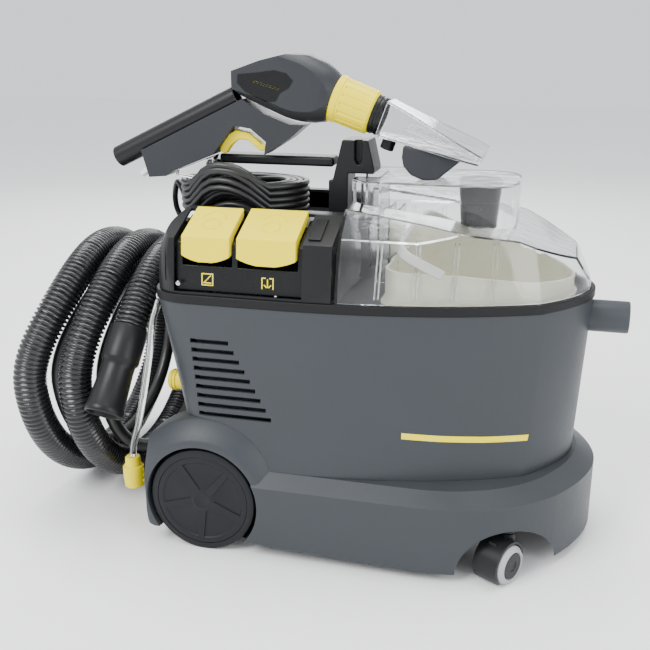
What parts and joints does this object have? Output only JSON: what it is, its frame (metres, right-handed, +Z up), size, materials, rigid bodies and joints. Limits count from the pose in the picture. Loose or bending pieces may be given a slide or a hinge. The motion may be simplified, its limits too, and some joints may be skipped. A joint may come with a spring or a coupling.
{
  "type": "spray extraction carpet cleaner",
  "caption": "Low wheeled spray-extraction carpet cleaner with a clear lid, a hand tool on its carrying handle, a looped suction hose and a wound mains cable.",
  "frame": {"origin": "on the floor, under the middle of the box round the machine, its hose hook and its hand tool, without the hose and cable", "axes": "+X towards the machine's nose and hose stub, +Y its right side seen from behind, +Z up"},
  "size_m": [0.7142, 0.3703, 0.526],
  "materials": {
    "grey_plastic": "fine satin moulding",
    "black_plastic": "fine textured moulding",
    "wheel_plastic": "satin moulding with faint spokes",
    "yellow_plastic": "satin moulding",
    "clear_plastic": "clear and glossy",
    "black_rubber": "flexible, low sheen",
    "bright_steel": "drawn and turned",
    "white_plastic": "satin moulding",
    "cream_plastic": "translucent satin moulding",
    "tread_plastic": "light grey tread"
  },
  "bodies": {
    "base": {"chassis_skirt": "grey_plastic", "body_shell": "grey_plastic", "hose_stub": "grey_plastic", "base_pan": "black_plastic", "bulkhead": "black_plastic", "rear_cover": "black_plastic", "switch_panel": "black_plastic", "switch_block": "black_plastic", "service_door": "black_plastic", "handle_front_post": "black_plastic", "handle_bar": "black_plastic", "handle_rear_post": "black_plastic", "hose_hook": "black_plastic", "spray_pump": "black_plastic", "hose_cuff": "black_plastic", "hose_far_cuff": "black_plastic", "cable_gland": "black_plastic", "mains_plug": "black_plastic", "spray_socket": "yellow_plastic", "tail_coupling": "yellow_plastic", "clear_tail": "clear_plastic", "rim_seal": "black_rubber", "motor_seal": "black_rubber", "suction_hose": "black_rubber", "spray_line": "black_rubber", "cable_hank": "black_rubber", "cable_tail": "black_rubber", "rear_axle": "bright_steel", "suction_motor": "bright_steel", "fresh_tank": "white_plastic", "line_barb": "white_plastic"},
    "tool": {"tool_tube": "black_plastic", "tool_head": "grey_plastic", "tool_grip": "grey_plastic", "tool_valve": "bright_steel", "spray_nipple": "white_plastic", "nozzle_collar": "black_plastic", "spray_nozzle": "clear_plastic", "nozzle_fin": "grey_plastic", "spray_knob": "black_plastic"},
    "trigger": {"tool_trigger": "yellow_plastic"},
    "nut": {"coupling_nut": "yellow_plastic"},
    "lid": {"lid": "clear_plastic", "air_duct": "clear_plastic", "float_cage": "black_plastic"},
    "float": {"float_ball": "white_plastic"},
    "tank": {"recovery_tank": "cream_plastic"},
    "bail": {"tank_bail": "white_plastic"},
    "wheel_left": {"rear_wheel_left": "wheel_plastic", "wheel_cap_left": "wheel_plastic"},
    "wheel_right": {"rear_wheel_right": "wheel_plastic", "wheel_cap_right": "wheel_plastic"},
    "castor_left": {"castor_hood_left": "black_plastic"},
    "castor_right": {"castor_hood_right": "black_plastic"},
    "castor_roller_left": {"castor_wheels_left": "tread_plastic"},
    "castor_roller_right": {"castor_wheels_right": "tread_plastic"},
    "rocker_left": {"switch_left": "yellow_plastic"},
    "rocker_right": {"switch_right": "yellow_plastic"},
    "rotor": {"motor_rotor": "bright_steel"}
  },
  "joints": [
    {"name": "wheel_left_spin", "type": "hinge", "parent": "base", "child": "wheel_left", "pos_m": [-0.1065, -0.149, 0.06], "axis": [0, 1, 0], "continuous": true},
    {"name": "castor_left_swivel", "type": "hinge", "parent": "base", "child": "castor_left", "pos_m": [0.2215, -0.126, 0.05], "axis": [0, 0, 1], "continuous": true},
    {"name": "castor_left_roll", "type": "hinge", "parent": "castor_left", "child": "castor_roller_left", "pos_m": [0.21429, -0.138, 0.021], "axis": [0.8572, -0.515, 0], "continuous": true},
    {"name": "switch_left_press", "type": "hinge", "parent": "base", "child": "rocker_left", "pos_m": [-0.103, -0.084, 0.364], "axis": [1, 0, 0], "range_deg": [0, 4], "stiffness_Nm_per_rad": 3.5},
    {"name": "wheel_right_spin", "type": "hinge", "parent": "base", "child": "wheel_right", "pos_m": [-0.1065, 0.149, 0.06], "axis": [0, 1, 0], "continuous": true},
    {"name": "castor_right_swivel", "type": "hinge", "parent": "base", "child": "castor_right", "pos_m": [0.2215, 0.126, 0.05], "axis": [0, 0, 1], "continuous": true},
    {"name": "castor_right_roll", "type": "hinge", "parent": "castor_right", "child": "castor_roller_right", "pos_m": [0.21429, 0.138, 0.021], "axis": [-0.8572, -0.515, 0], "continuous": true},
    {"name": "switch_right_press", "type": "hinge", "parent": "base", "child": "rocker_right", "pos_m": [-0.037, -0.084, 0.364], "axis": [1, 0, 0], "range_deg": [0, 4], "stiffness_Nm_per_rad": 3.5},
    {"name": "tool_lift", "type": "slide", "parent": "base", "child": "tool", "axis": [0, 0, 1], "range_m": [0, 0.36]},
    {"name": "lid_lift", "type": "slide", "parent": "base", "child": "lid", "axis": [0, 0, 1], "range_m": [0, 0.27]},
    {"name": "tank_lift", "type": "slide", "parent": "base", "child": "tank", "axis": [0, 0, 1], "range_m": [0, 0.162]},
    {"name": "bail_swing", "type": "hinge", "parent": "tank", "child": "bail", "pos_m": [0.1355, 0, 0.32], "axis": [0, 1, 0], "range_deg": [0, 62]},
    {"name": "trigger_pull", "type": "hinge", "parent": "tool", "child": "trigger", "pos_m": [-0.07082, -0.02, 0.42874], "axis": [0, 1, 0], "range_deg": [0, 5], "stiffness_Nm_per_rad": 5},
    {"name": "nut_turn", "type": "hinge", "parent": "tool", "child": "nut", "pos_m": [0.02787, -0.02, 0.47477], "axis": [0.9397, 0, -0.342], "range_deg": [0, 90]},
    {"name": "float_rise", "type": "slide", "parent": "lid", "child": "float", "axis": [0, 0, 1], "range_m": [0, 0.012]},
    {"name": "motor_spin", "type": "hinge", "parent": "base", "child": "rotor", "pos_m": [-0.0225, 0, 0.13], "axis": [0, 0, 1], "continuous": true}
  ],
  "couplings": [
    {"joint": "lid_lift", "follows": "tool_lift", "ratio": 0.75},
    {"joint": "tank_lift", "follows": "tool_lift", "ratio": 0.45},
    {"joint": "bail_swing", "follows": "tool_lift", "rad_per_m": 3}
  ]
}
